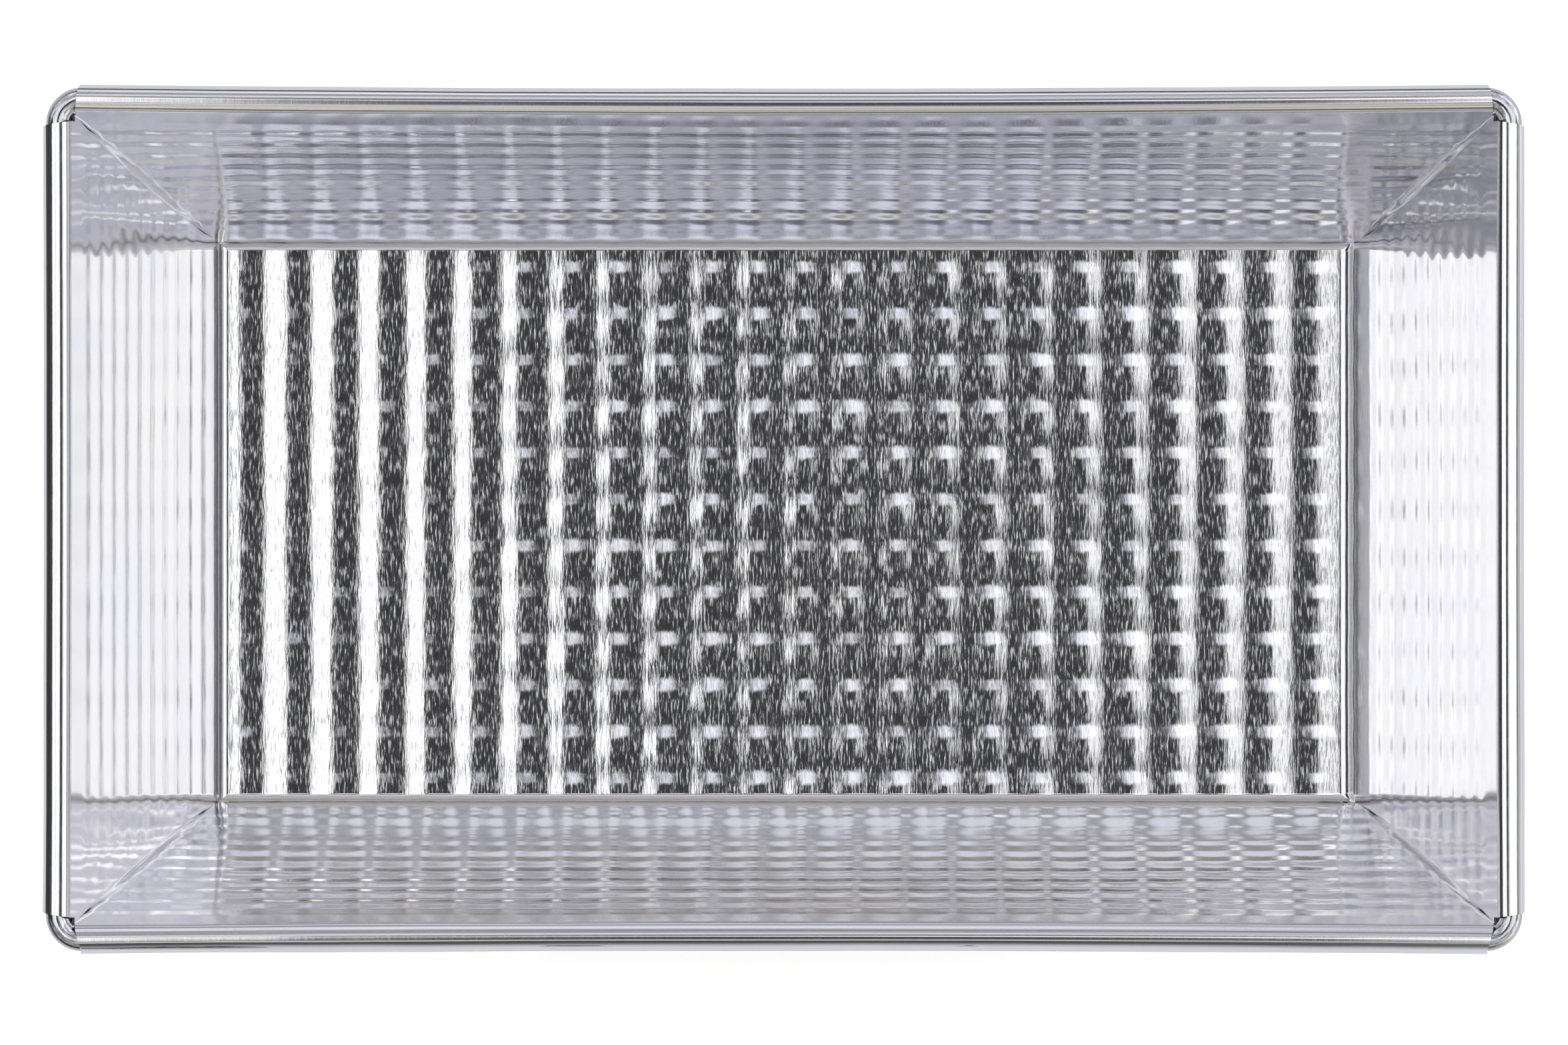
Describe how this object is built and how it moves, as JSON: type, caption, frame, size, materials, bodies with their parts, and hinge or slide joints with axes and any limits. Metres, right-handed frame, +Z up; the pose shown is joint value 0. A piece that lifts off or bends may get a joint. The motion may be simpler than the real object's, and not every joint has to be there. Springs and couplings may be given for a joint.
{
  "type": "folded loaf pan",
  "caption": "Rectangular folded tinplate baking pan with leaning walls, folded corners and a wire rolled into the rim, for baking a loaf or tart.",
  "frame": {"origin": "centre of the floor's underside, at the bottom centre of the pan's box", "axes": "+Z up out of the pan's mouth, +X along the pan's length, +Y across its width"},
  "size_m": [0.2002, 0.1176, 0.079],
  "materials": {
    "tinplate": "bright rolled tinplate with fine grain along the short side, embossed with a square grid of small bumps",
    "steel_wire": "bright drawn steel wire"
  },
  "bodies": {
    "root": {"folded_tin_body": "tinplate", "rim_wire": "steel_wire"}
  },
  "joints": []
}
